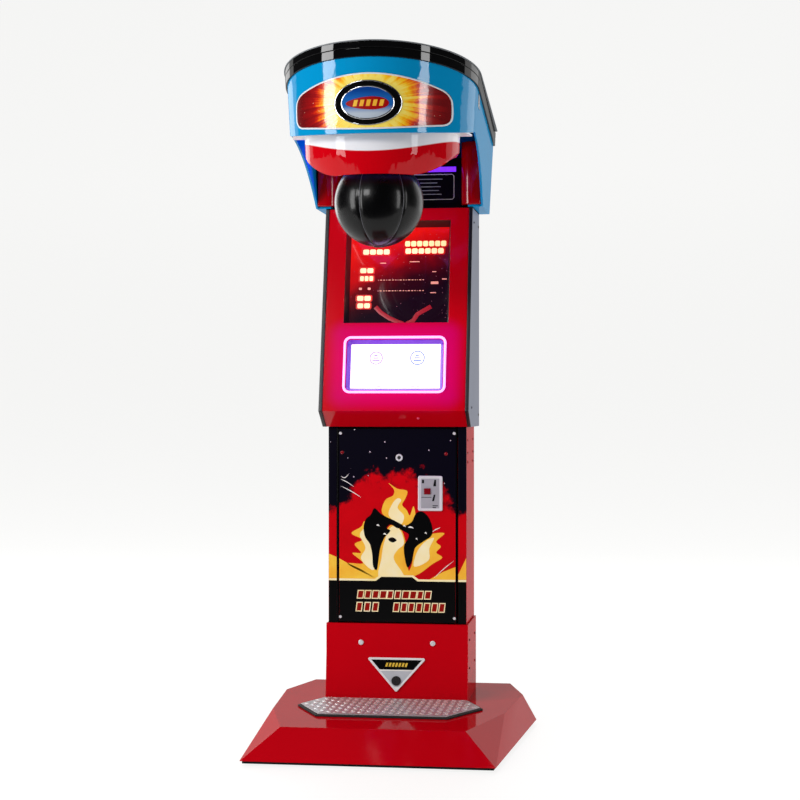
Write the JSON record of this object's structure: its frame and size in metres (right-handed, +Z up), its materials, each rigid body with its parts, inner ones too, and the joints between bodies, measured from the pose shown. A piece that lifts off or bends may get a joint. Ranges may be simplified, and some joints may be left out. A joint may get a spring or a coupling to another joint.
{
  "type": "boxing punch machine",
  "caption": "Free-standing arcade strength tester: a leather ball hangs from a hooded head above a display housing, service cabinet and sloping base.",
  "frame": {"origin": "on the floor, at the middle of the base", "axes": "+Z up, front of the machine towards -Y, +X to the right seen from the front"},
  "size_m": [0.92, 1.125, 2.2001],
  "materials": {
    "red_enamel": "high gloss",
    "black_enamel": "satin",
    "side_panel": "gloss",
    "back_panel": "satin",
    "tread_aluminium": "chequered",
    "black_rubber": "matte",
    "chrome": "polished",
    "steel": "brushed",
    "cast_grey": "painted",
    "badge_print": "printed",
    "poster": "laminated print",
    "red_plastic": "gloss",
    "grey_plastic": "matte",
    "black_plastic": "satin",
    "circuit": "lacquered",
    "display_glass": "printed and lit",
    "purple_plastic": "gloss",
    "lit_screen": "lit",
    "neon": "lit",
    "lamp": "lit",
    "blue_gelcoat": "high gloss",
    "black_gloss": "high gloss",
    "lid_grey": "satin",
    "marquee_print": "printed",
    "emblem_print": "printed",
    "lip_paint": "high gloss",
    "throat_red": "gloss",
    "light_strip": "lit",
    "ball_leather": "pebbled"
  },
  "bodies": {
    "root": {"base_cover": "red_enamel", "plinth_shroud": "red_enamel", "cabinet_wrap": "red_enamel", "housing_front": "red_enamel", "base_pan": "black_enamel", "column_frame": "black_enamel", "front_strip_left": "black_enamel", "front_strip_right": "black_enamel", "cabinet_header": "black_enamel", "hinge_leaf_fixed": "black_enamel", "throat_back": "black_enamel", "cash_box": "black_enamel", "housing_side_left": "side_panel", "housing_side_right": "side_panel", "housing_back": "back_panel", "tread_plate": "tread_aluminium", "rubber_feet": "black_rubber", "tread_pad": "black_rubber", "stop_buffers": "black_rubber", "plinth_bolts": "chrome", "bearings": "cast_grey", "catch_magnet": "cast_grey", "badge_plate": "badge_print", "power_supply": "grey_plastic", "mains_inlet": "grey_plastic", "speed_sensor": "grey_plastic", "edge_mouldings": "black_plastic", "display_surround": "black_plastic", "control_board": "circuit", "digit_modules": "circuit", "display_glass": "display_glass", "lower_surround": "purple_plastic", "lower_screen": "lit_screen", "neon_tube": "neon", "chin_lamp": "lamp", "head_shell": "blue_gelcoat", "head_rim": "black_gloss", "head_lid": "lid_grey", "marquee_panel": "marquee_print", "emblem": "emblem_print", "visor_lip": "lip_paint", "throat_cheeks": "throat_red", "throat_light": "light_strip"},
    "door": {"service_door": "black_enamel", "door_poster": "poster", "hinge_leaf_moving": "black_enamel", "door_screws": "chrome", "door_studs": "red_plastic", "door_lock_body": "chrome", "coin_plate": "steel", "coin_acceptor": "grey_plastic"},
    "lock_cam": {"door_lock_cam": "steel"},
    "reject_button": {"coin_reject_button": "red_plastic"},
    "return_flap": {"coin_return_flap": "steel"},
    "punch_arm": {"pivot_shaft": "steel", "swing_arm": "steel", "punch_ball": "ball_leather", "speed_vane": "black_enamel"},
    "plinth_lock": {"badge_lock": "steel"},
    "switch_rocker": {"power_switch": "black_plastic"}
  },
  "joints": [
    {"name": "ball_swing", "type": "hinge", "parent": "root", "child": "punch_arm", "pos_m": [0, -0.3, 2.02], "axis": [1, 0, 0], "range_deg": [0, 75]},
    {"name": "door_swing", "type": "hinge", "parent": "root", "child": "door", "pos_m": [-0.204, 0.12, 0.687], "axis": [0, 0, -1], "range_deg": [0, 110]},
    {"name": "door_lock_turn", "type": "hinge", "parent": "door", "child": "lock_cam", "pos_m": [0.007, 0.13, 0.916], "axis": [0, -1, 0], "range_deg": [0, 90]},
    {"name": "reject_press", "type": "slide", "parent": "door", "child": "reject_button", "axis": [0, 1, 0], "range_m": [0, 0.004], "stiffness_N_per_m": 400},
    {"name": "return_flap_swing", "type": "hinge", "parent": "door", "child": "return_flap", "pos_m": [0.107, 0.1155, 0.772], "axis": [1, 0, 0], "range_deg": [0, 40]},
    {"name": "plinth_lock_turn", "type": "hinge", "parent": "root", "child": "plinth_lock", "pos_m": [0, 0.09947, 0.16558], "axis": [0, 0.9936, -0.1132], "range_deg": [0, 90]},
    {"name": "switch_rock", "type": "hinge", "parent": "root", "child": "switch_rocker", "pos_m": [0.07, 0.386, 0.6575], "axis": [-1, 0, 0], "range_deg": [0, 16]}
  ]
}
